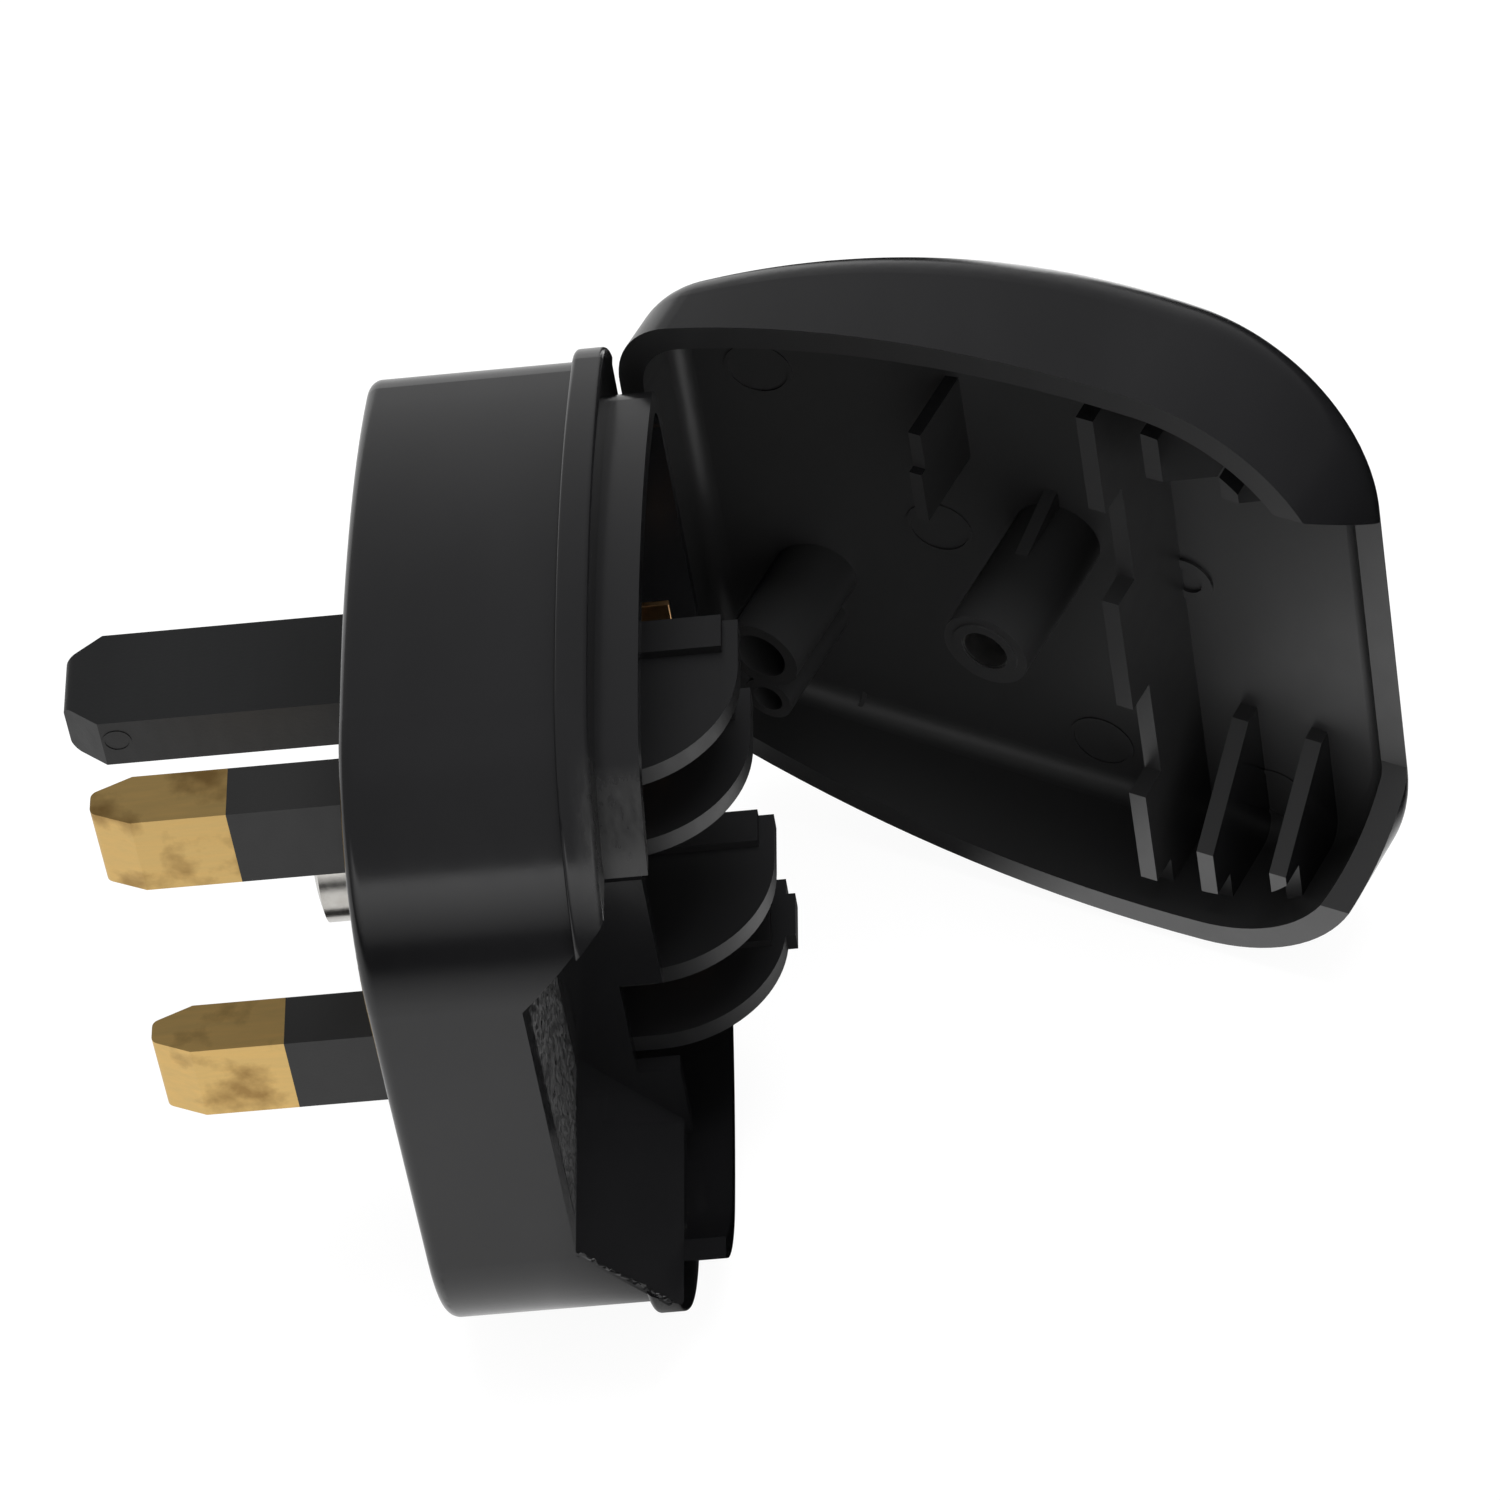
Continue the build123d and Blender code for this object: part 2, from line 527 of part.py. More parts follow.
# Socket contacts: a slit brass sleeve between each pair of plates, half open behind them, on a tail
for name, side in (("neutral_socket_contact", 1), ("live_socket_contact", -1)):
    socket_z = side * SOCKET_PITCH / 2
    with BuildPart() as contact:
        with BuildSketch(Plane.XZ.offset(-SOCKET_HIGH_Y)):
            with Locations((SOCKET_X, socket_z)):
                Circle(SOCKET_BORE_R + SOCKET_T)
        extrude(amount=SOCKET_HIGH_Y - SOCKET_LOW_Y)
        with BuildSketch(Plane.XZ.offset(-SOCKET_HIGH_Y)):
            with Locations(((STRAP_X + STRAP_T + SOCKET_X) / 2, socket_z)):
                Rectangle(SOCKET_X - STRAP_X - STRAP_T, 2 * TAIL_HALF)
        extrude(amount=TAIL_T)
        with BuildSketch(Plane.YZ.offset(STRAP_X + STRAP_T)):
            with Locations(((SOCKET_HIGH_Y - TAIL_T + STRAP_HIGH_Y) / 2, socket_z)):
                Rectangle(STRAP_HIGH_Y - SOCKET_HIGH_Y + TAIL_T, 2 * TAIL_HALF)
        extrude(amount=TAIL_T)
        with BuildSketch(Plane.XZ.offset(-SOCKET_HIGH_Y)):
            with Locations((SOCKET_X, socket_z)):
                Circle(SOCKET_BORE_R)
        extrude(amount=SOCKET_HIGH_Y - SOCKET_LOW_Y, mode=Mode.SUBTRACT)
        with BuildSketch(Plane.XZ.offset(-SOCKET_HIGH_Y + TAIL_T)):
            with Locations((SOCKET_X + SOCKET_BORE_R, socket_z)):
                Rectangle(2 * SOCKET_BORE_R, SOCKET_SLIT)
        extrude(amount=SOCKET_HIGH_Y - TAIL_T - SOCKET_LOW_Y, mode=Mode.SUBTRACT)
        with BuildSketch(Plane.XZ.offset(-SOCKET_HIGH_Y)):
            with Locations((SOCKET_X + 2 * SOCKET_BORE_R, socket_z)):
                Rectangle(4 * SOCKET_BORE_R, 4 * SOCKET_BORE_R)
        extrude(amount=SOCKET_HIGH_Y - SOCKET_ROUND_END_Y, mode=Mode.SUBTRACT)
    contact.part.label = name
    export_step(contact.part, f"parts/{name}.step")

# Neutral strap: from the neutral pin's riveted end to the foot of its socket contact
with BuildPart() as neutral_strap:
    with BuildSketch(Plane.YZ.offset(STRAP_X)):
        with Locations(((STRAP_HIGH_Y - STRAP_HALF) / 2, (PIN_PITCH + SOCKET_PITCH) / 4)):
            Rectangle(STRAP_HIGH_Y + STRAP_HALF, 2 * STRAP_HALF)
        with Locations((0, PIN_PITCH / 2)):
            Rectangle(PIN_CORE_T, PIN_CORE_W, mode=Mode.SUBTRACT)
    extrude(amount=STRAP_T)
neutral_strap.part.label = "neutral_strap"
export_step(neutral_strap.part, "parts/neutral_strap.step")

# Fuse: a ceramic tube with a cap on each end, lying along the live side
with BuildPart() as fuse_body:
    with BuildSketch(Plane.XZ.offset(-FUSE_Y - FUSE_LENGTH / 2 + FUSE_CAP_T)):
        with Locations((FUSE_X, FUSE_Z)):
            Circle(FUSE_BODY_R - FUSE_CAP_T)
    extrude(amount=FUSE_LENGTH - 2 * FUSE_CAP_T)
    with BuildSketch(Plane.XZ.offset(-FUSE_Y - FUSE_LENGTH / 2 + FUSE_CAP_LENGTH)):
        with Locations((FUSE_X, FUSE_Z)):
            Circle(FUSE_BODY_R)
    extrude(amount=FUSE_LENGTH - 2 * FUSE_CAP_LENGTH)
fuse_body.part.label = "fuse_body"
export_step(fuse_body.part, "parts/fuse_body.step")

for name, end in (("fuse_cap_pin_end", -1), ("fuse_cap_socket_end", 1)):
    cap_middle = FUSE_Y + end * (FUSE_LENGTH - FUSE_CAP_LENGTH) / 2
    with BuildPart() as fuse_cap:
        with BuildSketch(Plane.XZ.offset(-cap_middle - FUSE_CAP_LENGTH / 2)):
            with Locations((FUSE_X, FUSE_Z)):
                Circle(FUSE_R)
        extrude(amount=FUSE_CAP_LENGTH)
        with BuildSketch(Plane.XZ.offset(-cap_middle - FUSE_CAP_LENGTH / 2 + end * FUSE_CAP_T)):
            with Locations((FUSE_X, FUSE_Z)):
                Circle(FUSE_BODY_R - FUSE_CAP_T)
        extrude(amount=FUSE_CAP_LENGTH, mode=Mode.SUBTRACT)
    fuse_cap.part.label = name
    export_step(fuse_cap.part, f"parts/{name}.step")


def fuse_clip(clip_y, strap_low_y, strap_high_y, strap_end_z):
    """A spring trough round a fuse cap, on a strap that reaches to strap_end_z."""
    with BuildPart() as clip:
        with BuildSketch(Plane.XZ.offset(-clip_y - FUSE_CLIP_LENGTH / 2)):
            with Locations((FUSE_X, FUSE_Z)):
                Circle(FUSE_CLIP_R)
                Circle(FUSE_R, mode=Mode.SUBTRACT)
            with Locations((FUSE_X + FUSE_R, FUSE_Z)):
                Rectangle(FUSE_R, FUSE_CLIP_MOUTH, mode=Mode.SUBTRACT)
        extrude(amount=FUSE_CLIP_LENGTH)
        with BuildSketch(Plane.YZ.offset(STRAP_X)):
            with Locations(((strap_low_y + strap_high_y) / 2, (FUSE_Z - FUSE_R + strap_end_z) / 2)):
                Rectangle(strap_high_y - strap_low_y, strap_end_z - FUSE_Z + FUSE_R)
            with Locations((0, -PIN_PITCH / 2)):
                Rectangle(PIN_CORE_T, PIN_CORE_W, mode=Mode.SUBTRACT)
        extrude(amount=STRAP_T)
    return clip.part


# Fuse clip at the pin's end, with the live pin riveted through its strap
pin_clip_foot = FUSE_CLIP_PIN_Y - FUSE_CLIP_LENGTH / 2
fuse_clip_pin_end = fuse_clip(FUSE_CLIP_PIN_Y, pin_clip_foot, STRAP_HALF, STRAP_HALF - PIN_PITCH / 2)
fuse_clip_pin_end.label = "fuse_clip_pin_end"
export_step(fuse_clip_pin_end, "parts/fuse_clip_pin_end.step")

# Fuse clip at the socket's end, with its strap under the live socket contact's foot
socket_clip_top = FUSE_CLIP_SOCKET_Y + FUSE_CLIP_LENGTH / 2
fuse_clip_socket_end = fuse_clip(
    FUSE_CLIP_SOCKET_Y, SOCKET_HIGH_Y - TAIL_T, socket_clip_top, STRAP_HALF - SOCKET_PITCH / 2
)
fuse_clip_socket_end.label = "fuse_clip_socket_end"
export_step(fuse_clip_socket_end, "parts/fuse_clip_socket_end.step")

# The space that the base's lip takes inside the closed lid
with BuildPart() as lip_way:
    lip_depth = RIM_X + LIP_RISE + LID_GAP - INSERT_X
    extrude(outline(lid_plane(INSERT_X), inset=LID_WALL), amount=lip_depth)
    inner_outline = outline(lid_plane(INSERT_X), inset=WALL + LIP_GAP + LIP_T + LID_GAP)
    extrude(inner_outline, amount=lip_depth, mode=Mode.SUBTRACT)

# What stands inside the lid: bosses, tubes, the stepped wall, the cross wall and the ribs
with BuildPart() as lid_inside:
    with BuildSketch(lid_plane(INSERT_X)):
        with Locations((SCREW_Y, 0)):
            Circle(LID_BOSS_R)
        with Locations((TUBE_Y, TUBE_Z)):
            Circle(TUBE_R)
        with Locations((TUBE_Y, SIDE_TUBE_Z)):
            Circle(SIDE_TUBE_R)
    extrude(amount=LID_TOP_X - INSERT_X)
    # a tapered gusset on both sides of the screw boss
    with BuildSketch(lid_cross_plane(SCREW_Y + GUSSET_T / 2)):
        with BuildLine():
            Polyline(
                (LID_RIM_X + GUSSET_DEPTH, -LID_BOSS_R),
                (LID_RIM_X + LID_DEPTH_MID, -LID_BOSS_R - GUSSET_REACH),
                (LID_RIM_X + LID_DEPTH_MID, LID_BOSS_R + GUSSET_REACH),
                (LID_RIM_X + GUSSET_DEPTH, LID_BOSS_R),
                close=True,
            )
        make_face()
    extrude(amount=GUSSET_T)
    # stepped wall just behind the neutral contact's plates
    for edge_depth, low_z, high_z in (
        (STEP_WALL_EDGE, STEP_WALL_LOW_Z, STEP_WALL_MID_Z),
        (STEP_WALL_EDGE + STEP_WALL_DROP, STEP_WALL_MID_Z, STEP_WALL_HIGH_Z),
    ):
        with BuildSketch(lid_plane(LID_RIM_X + edge_depth)):
            with Locations((PLATE_HIGH_Y + STEP_WALL_GAP + STEP_WALL_T / 2, (low_z + high_z) / 2)):
                Rectangle(STEP_WALL_T, high_z - low_z)
        extrude(amount=LID_DEPTH_MID)
    # cross wall, cut back over the gates for the two-pin plug's pins
    with BuildSketch(lid_plane(LID_RIM_X + CROSS_EDGE)):
        with Locations((CROSS_WALL_Y - CROSS_WALL_T / 2, 0)):
            Rectangle(CROSS_WALL_T, 2 * HALF_WIDTH)
    extrude(amount=LID_DEPTH_MID)
    with BuildSketch(lid_plane(LID_RIM_X)):
        for gate_z in GATE_CENTRES:
            with Locations((CROSS_WALL_Y - CROSS_WALL_T / 2, gate_z)):
                Rectangle(2 * CROSS_WALL_T, GATE_WIDTH)
    extrude(amount=CROSS_GATE_EDGE, mode=Mode.SUBTRACT)
    # two ribs that close over the sides of the two-pin plug's body
    with BuildSketch(lid_plane(LID_RIM_X + RIB_EDGE)):
        for rib_y in RIB_Y:
            with Locations((rib_y, 0)):
                Rectangle(RIB_T, 2 * HALF_WIDTH)
                Rectangle(RIB_T, 2 * BAY_FLOOR_HALF, mode=Mode.SUBTRACT)
    extrude(amount=LID_DEPTH_MID)
    add(lid_block(INSERT_X, LID_WALL / 2, LID_INNER_R), mode=Mode.INTERSECT)
    add(lip_way.part, mode=Mode.SUBTRACT)

# Lid shell
with BuildPart() as lid_shell:
    add(lid_block(LID_RIM_X, 0, LID_EDGE_R))
    add(lid_block(LID_RIM_X, LID_WALL, LID_INNER_R), mode=Mode.SUBTRACT)
    add(lid_inside.part)
    # the opening for the two-pin plug's body, through the end wall and the ribs
    bay_roof_x = LID_RIM_X + LID_DEPTH_END - LID_WALL
    bay = bay_profile(lid_cross_plane(BAY_END_Y), bay_roof_x, LID_RIM_X, LID_RIM_X - 2 * LID_GAP)
    extrude(bay, amount=BASE_LOW + LID_WALL + BAY_END_Y, mode=Mode.SUBTRACT)
    # holes in the boss and the tubes
    with BuildSketch(lid_plane(INSERT_X)):
        with Locations((SCREW_Y, 0)):
            Circle(INSERT_R + PIN_HOLE_GAP)
    extrude(amount=INSERT_LENGTH + PIN_HOLE_GAP, mode=Mode.SUBTRACT)
    with BuildSketch(lid_plane(INSERT_X)):
        with Locations((TUBE_Y, TUBE_Z)):
            Circle(TUBE_R - TUBE_WALL)
        with Locations((TUBE_Y, SIDE_TUBE_Z)):
            Circle(SIDE_TUBE_R - SIDE_TUBE_WALL)
    extrude(amount=TUBE_HOLE_DEPTH, mode=Mode.SUBTRACT)
    # middle hinge knuckle with its web, and room for the base's knuckles
    with BuildSketch(lid_side_plane(-LID_KNUCKLE_END)):
        with Locations((HINGE_X, HINGE_Y)):
            Circle(KNUCKLE_R)
        with Locations((LID_RIM_X + KNUCKLE_R / 2, HINGE_Y - LID_WALL / 2)):
            Rectangle(KNUCKLE_R, LID_WALL)
    extrude(amount=2 * LID_KNUCKLE_END)
    for low_z, high_z in BASE_KNUCKLES:
        with BuildSketch(lid_side_plane(low_z - KNUCKLE_GAP)):
            with Locations((HINGE_X, HINGE_Y)):
                Circle(KNUCKLE_R + KNUCKLE_GAP)
        extrude(amount=high_z - low_z + 2 * KNUCKLE_GAP, mode=Mode.SUBTRACT)
    with BuildSketch(lid_side_plane(-LID_KNUCKLE_END)):
        with Locations((HINGE_X, HINGE_Y)):
            Circle(HINGE_PIN_R + HINGE_FIT)
    extrude(amount=2 * LID_KNUCKLE_END, mode=Mode.SUBTRACT)
lid_shell.part.label = "lid_shell"
export_step(lid_shell.part, "parts/lid_shell.step")

# Threaded brass insert in the lid's boss
with BuildPart() as boss_insert:
    with BuildSketch(lid_plane(INSERT_X + PIN_HOLE_GAP)):
        with Locations((SCREW_Y, 0)):
            Circle(INSERT_R)
            Circle(SCREW_SHANK_R + INSERT_FIT, mode=Mode.SUBTRACT)
    extrude(amount=INSERT_LENGTH - PIN_HOLE_GAP)
boss_insert.part.label = "boss_insert"
export_step(boss_insert.part, "parts/boss_insert.step")

# Closing screw: domed head with a cross recess, plain shank with a tapered tip
with BuildPart() as closing_screw:
    with BuildSketch(Plane.XY):
        with BuildLine():
            head_x = -SCREW_BACKED_OUT
            ThreePointArc(
                (head_x, SCREW_Y),
                (head_x + SCREW_DOME / 4, SCREW_Y + SCREW_HEAD_R / 2),
                (head_x + SCREW_DOME, SCREW_Y + SCREW_HEAD_R),
            )
            Polyline(
                (head_x + SCREW_DOME, SCREW_Y + SCREW_HEAD_R),
                (head_x + SCREW_HEAD_T, SCREW_Y + SCREW_HEAD_R),
                (head_x + SCREW_HEAD_T, SCREW_Y + SCREW_SHANK_R),
                (SCREW_TIP_X - SCREW_SHANK_R / 2, SCREW_Y + SCREW_SHANK_R),
                (SCREW_TIP_X, SCREW_Y + SCREW_SHANK_R / 2),
                (SCREW_TIP_X, SCREW_Y),
                (head_x, SCREW_Y),
            )
        make_face()
    revolve(axis=Axis((0, SCREW_Y, 0), (1, 0, 0)))
    with BuildSketch(Plane.YZ.offset(-SCREW_BACKED_OUT)):
        with Locations((SCREW_Y, 0)):
            Rectangle(SCREW_HEAD_R, SCREW_SLOT_W)
            Rectangle(SCREW_SLOT_W, SCREW_HEAD_R)
    extrude(amount=SCREW_SLOT_DEPTH, mode=Mode.SUBTRACT)
closing_screw.part.label = "closing_screw"
export_step(closing_screw.part, "parts/closing_screw.step")

# Washer pushed onto the shank, which keeps the screw in the base
with BuildPart() as screw_retainer:
    with BuildSketch(Plane.YZ.offset(SCREW_BOSS_X + LID_GAP)):
        with Locations((SCREW_Y, 0)):
            Circle(RETAINER_R)
            Circle(SCREW_SHANK_R + PIN_HOLE_GAP, mode=Mode.SUBTRACT)
    extrude(amount=RETAINER_T)
screw_retainer.part.label = "screw_retainer"
export_step(screw_retainer.part, "parts/screw_retainer.step")
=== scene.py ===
import bpy
import json
import math
from mathutils import Matrix, Vector


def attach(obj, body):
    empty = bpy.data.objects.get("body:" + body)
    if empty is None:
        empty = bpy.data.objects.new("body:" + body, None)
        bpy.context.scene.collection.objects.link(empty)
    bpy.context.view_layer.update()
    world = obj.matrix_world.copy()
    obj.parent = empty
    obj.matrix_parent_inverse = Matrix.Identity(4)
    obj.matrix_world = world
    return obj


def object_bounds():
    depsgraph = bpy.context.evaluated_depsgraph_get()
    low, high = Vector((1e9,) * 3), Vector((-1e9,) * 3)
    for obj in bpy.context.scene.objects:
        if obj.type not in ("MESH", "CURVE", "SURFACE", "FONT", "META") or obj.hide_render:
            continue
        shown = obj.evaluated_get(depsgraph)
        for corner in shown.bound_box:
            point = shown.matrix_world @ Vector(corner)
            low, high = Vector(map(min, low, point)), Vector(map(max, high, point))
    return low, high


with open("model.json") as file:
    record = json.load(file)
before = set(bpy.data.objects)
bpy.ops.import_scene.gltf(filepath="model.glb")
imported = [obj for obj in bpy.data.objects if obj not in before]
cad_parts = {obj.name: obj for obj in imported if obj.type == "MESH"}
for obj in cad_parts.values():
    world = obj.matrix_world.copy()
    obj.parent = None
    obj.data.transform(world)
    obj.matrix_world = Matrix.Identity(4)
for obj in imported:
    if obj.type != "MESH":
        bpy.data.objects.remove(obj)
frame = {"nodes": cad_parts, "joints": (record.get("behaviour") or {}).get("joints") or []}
cad_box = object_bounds()
bpy.ops.object.select_all(action="DESELECT")

# The converter plug lies on its side with its lid open. Places are in metres, in the frame of the
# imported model: X points away from the pins, Y towards the earth pin and the hinge, Z up.
MM = 0.001

# Camera, fitted to the corners of the pins
CAMERA_PLACE = (74.70 * MM, -378.68 * MM, 425.70 * MM)
CAMERA_TURN = (42.354, 7.228, -0.237)
CAMERA_LENS = 216.0
CAMERA_SENSOR = 36.0

# Floor: white to the camera, and in the gloss bright only near the plug. Places are along X or Y.
FLOOR_SIZE = 6.0
FLOOR_WHITE = 0.82
FLOOR_SHEEN = 0.1
FLOOR_GLOW = 1.06
SHADOW_SHARE = 0.12
FLOOR_GLEAM = 0.79
GLEAM_NEAR = (-160.0 * MM, -60.0 * MM)
GLEAM_LEFT = (16.0 * MM, 6.0 * MM)
GLEAM_RIGHT = (32.0 * MM, 40.0 * MM)
GLEAM_RIGHT_END = (70.0 * MM, 58.0 * MM)
GLEAM_RIGHT_SHARE = 2.2

# Room: its brightness for matt faces and, in the gloss, by the direction that a face reflects
ROOM_SOFT = 0.9
ROOM_DIM = 0.22
ROOM_DIM_RIGHT = 0.35
ROOM_RIGHT = (0.95, 0.1)
ROOM_BACK = 0.3
ROOM_BACK_FOCUS = 8.0
ROOM_BAND = 1.3
ROOM_BAND_AHEAD = (-0.3, -0.6)
ROOM_BAND_TOP = 0.53
ROOM_BAND_EDGE = 0.05

# Lamp that casts the shadow
LAMP_PLACE = (100.0 * MM, 150.0 * MM, 900.0 * MM)
LAMP_AIM = (30.0 * MM, 0.0, 0.0)
LAMP_WIDTH = 0.7
LAMP_HEIGHT = 0.5
LAMP_POWER = 9.0

# Black plastics, from the shiny mouldings to the earth pin
GLOSSY_BLACK = (0.0065, 0.0065, 0.007)
CARRIER_BLACK = (0.007, 0.007, 0.0075)
SLEEVE_BLACK = (0.009, 0.009, 0.009)
EARTH_BLACK = (0.005, 0.0052, 0.0055)
# Paler black for the lid's inside faces: painted fill light that lifts the shade in the lid's hollow
INSIDE_PAINTED_FILL_BLACK = (0.019, 0.019, 0.0195)
WORN_GREY = (0.024, 0.024, 0.024)

# Base moulding: the corner of the lip that is rubbed pale
WORN_LOW = (15.7 * MM, -16.5 * MM, 18.5 * MM)
WORN_HIGH = (18.4 * MM, -10.0 * MM, 24.5 * MM)
WORN_SOFT = 1.5 * MM

# Lid: how far it stands open, and the turn that takes a place in the closed lid to the open one
LID_OPEN = math.radians(-frame["joints"][0]["range_deg"][0])
HINGE = Vector(frame["joints"][0]["pos_m"])
LID_TURN = Matrix.Translation(HINGE) @ Matrix.Rotation(LID_OPEN, 4, "Z") @ Matrix.Translation(-HINGE)

# Inside of the lid: a point in its mouth, and how far from it a face may look out and still be inside
LID_CENTRE = LID_TURN @ (Vector((11.0, 6.0, 0.0)) * MM)
INSIDE_FAR = 10.0 * MM
INSIDE_NEAR = 8.0 * MM

# All sizes and places below are in millimetres. Places on the lid are those of the closed lid.
RING_SIDES = 64

# Black rim on the lid's boss
BOSS_PLACE = (13.9, 6.8, 0.0)
BOSS_RIM_R = 2.3
BOSS_RIM_HOLE_R = 1.62
BOSS_RIM_THICK = 0.12

# Marks on the lid's floor, each given as the Y and Z of its centre, and found from the lid's rim
LID_RIM_X = 15.9
LID_MARKS = ((25.8, 12.0), (15.2, -1.3), (24.5, -18.8), (5.7, -19.7), (-7.4, -19.9))
LID_MARK_R = 2.3
LID_MARK_LINE = 0.3
LID_MARK_RISE = 0.12
LID_RING = (-2.5, -0.8)
LID_RING_R = 1.84
LID_RING_LINE = 0.75
LID_RING_RISE = 0.24
MARK_SUNK = 0.1

# Mark on the earth pin
EARTH_MARK = (-19.3, 18.27, 0.25)
EARTH_MARK_R = 0.95
EARTH_MARK_LINE = 0.14
EARTH_MARK_RISE = 0.05

# Uneven skin of the trough
GRAIN_PLACE = (9.56, -9.6, -0.2)
GRAIN_SIZE = (12.2, 21.4)
GRAIN_CELL = 0.28
GRAIN_HEIGHT = 0.09
GRAIN_THICK = 0.12
GRAIN_SEED = 4

# Torn flash at the trough's open end
FLASH_FROM = (9.7, -18.15, -11.9)
FLASH_TO = (14.9, -18.15, -17.7)
FLASH_WIDE = 0.4
FLASH_CELL = 0.25
FLASH_TEAR = 0.16
FLASH_THICK = 0.1
FLASH_SEED = 7

# Tongue of the neutral contact
TONGUE_HIGH = 1.8
TONGUE_THICK = 0.4
TONGUE_FOOT = (13.7, 13.9, 9.3)
TONGUE_BEND_Y = 16.6
TONGUE_END_X = 18.4
TONGUE_EDGE = 0.06

# Thread of the closing screw
THREAD_FROM = (6.4, 6.8, 0.0)
THREAD_R = 1.42
THREAD_DEPTH = 0.1
THREAD_PITCH = 0.7
THREAD_TURNS = 9
THREAD_STEPS = 24


def nodes_of(owner):
    """The nodes of a material or of the world, and the function that joins two of their sockets."""
    tree = owner.node_tree
    return tree.nodes, tree.links.new


def new_finish(name, roughness, metallic=0.0):
    """A material with one shader, its nodes, its join function and object coordinates."""
    finish = bpy.data.materials.new(name)
    finish.use_nodes = True
    nodes, join = nodes_of(finish)
    shader = nodes["Principled BSDF"]
    shader.inputs["Roughness"].default_value = roughness
    shader.inputs["Metallic"].default_value = metallic
    place = nodes.new("ShaderNodeTexCoord")
    return finish, nodes, join, shader, place.outputs["Object"]


def noise(nodes, join, place, scale, detail=3.0, stretch=(1.0, 1.0, 1.0)):
    """Noise of a given scale (cells per metre), stretched along the object's axes."""
    mapping = nodes.new("ShaderNodeMapping")
    mapping.inputs["Scale"].default_value = stretch
    join(place, mapping.inputs["Vector"])
    texture = nodes.new("ShaderNodeTexNoise")
    texture.inputs["Scale"].default_value = scale
    texture.inputs["Detail"].default_value = detail
    join(mapping.outputs["Vector"], texture.inputs["Vector"])
    return texture.outputs["Fac"]


def ramp(nodes, join, value, low, high, low_colour, high_colour):
    """Colours between two stops of a value."""
    band = nodes.new("ShaderNodeValToRGB")
    band.color_ramp.elements[0].position = low
    band.color_ramp.elements[1].position = high
    band.color_ramp.elements[0].color = (*low_colour, 1.0)
    band.color_ramp.elements[1].color = (*high_colour, 1.0)
    join(value, band.inputs["Fac"])
    return band.outputs["Color"]


def between(nodes, join, value, low, high):
    """A value's low to high stretched over 0 to 1."""
    window = nodes.new("ShaderNodeMapRange")
    window.inputs["From Min"].default_value = low
    window.inputs["From Max"].default_value = high
    join(value, window.inputs["Value"])
    return window.outputs["Result"]


def spread(nodes, join, value, low, high):
    """A value's 0 to 1 stretched over low to high."""
    window = nodes.new("ShaderNodeMapRange")
    window.inputs["To Min"].default_value = low
    window.inputs["To Max"].default_value = high
    join(value, window.inputs["Value"])
    return window.outputs["Result"]


def math_of(nodes, join, operation, first, second):
    """A sum, product or the like of a value and a value or number."""
    step = nodes.new("ShaderNodeMath")
    step.operation = operation
    join(first, step.inputs[0])
    if isinstance(second, float):
        step.inputs[1].default_value = second
    else:
        join(second, step.inputs[1])
    return step.outputs["Value"]


def blended(nodes, join, share, first, second):
    """A colour that turns into a plain colour as the share rises."""
    blend = nodes.new("ShaderNodeMix")
    blend.data_type = "RGBA"
    join(share, blend.inputs["Factor"])
    join(first, blend.inputs["A"])
    blend.inputs["B"].default_value = (*second, 1.0)
    return blend.outputs["Result"]


def add_bump(nodes, join, shader, height, depth):
    """Bump of a real depth in metres."""
    bump = nodes.new("ShaderNodeBump")
    bump.inputs["Distance"].default_value = depth
    join(height, bump.inputs["Height"])
    join(bump.outputs["Normal"], shader.inputs["Normal"])


def region(nodes, join, place, low, high, soft):
    """1 inside a box in object coordinates, falling to 0 over a soft distance outside it."""
    split = nodes.new("ShaderNodeSeparateXYZ")
    join(place, split.inputs["Vector"])
    inside = None
    for axis, name in enumerate("XYZ"):
        after_low = between(nodes, join, split.outputs[name], low[axis] - soft, low[axis])
        before_high = between(nodes, join, split.outputs[name], high[axis] + soft, high[axis])
        both = math_of(nodes, join, "MULTIPLY", after_low, before_high)
        inside = both if inside is None else math_of(nodes, join, "MULTIPLY", inside, both)
    return inside


def looks_in(nodes, join, place, centre):
    """1 on the faces of a hollow moulding that lie inside it, 0 on those that look out from its centre."""
    reach = nodes.new("ShaderNodeVectorMath")
    reach.operation = "SUBTRACT"
    reach.inputs[1].default_value = centre
    join(place, reach.inputs[0])
    outward = nodes.new("ShaderNodeVectorMath")
    outward.operation = "DOT_PRODUCT"
    join(reach.outputs["Vector"], outward.inputs[0])
    join(place.node.outputs["Normal"], outward.inputs[1])
    return between(nodes, join, outward.outputs["Value"], INSIDE_FAR, INSIDE_NEAR)


def patch(nodes, join, shader, share, colour, rougher):
    """Changes a finish's colour and roughness where the share is above 0."""
    old_colour = shader.inputs["Base Color"].links[0].from_socket
    old_roughness = shader.inputs["Roughness"].links[0].from_socket
    join(blended(nodes, join, share, old_colour, colour), shader.inputs["Base Color"])
    more = math_of(nodes, join, "MULTIPLY", share, rougher)
    join(math_of(nodes, join, "ADD", old_roughness, more), shader.inputs["Roughness"])


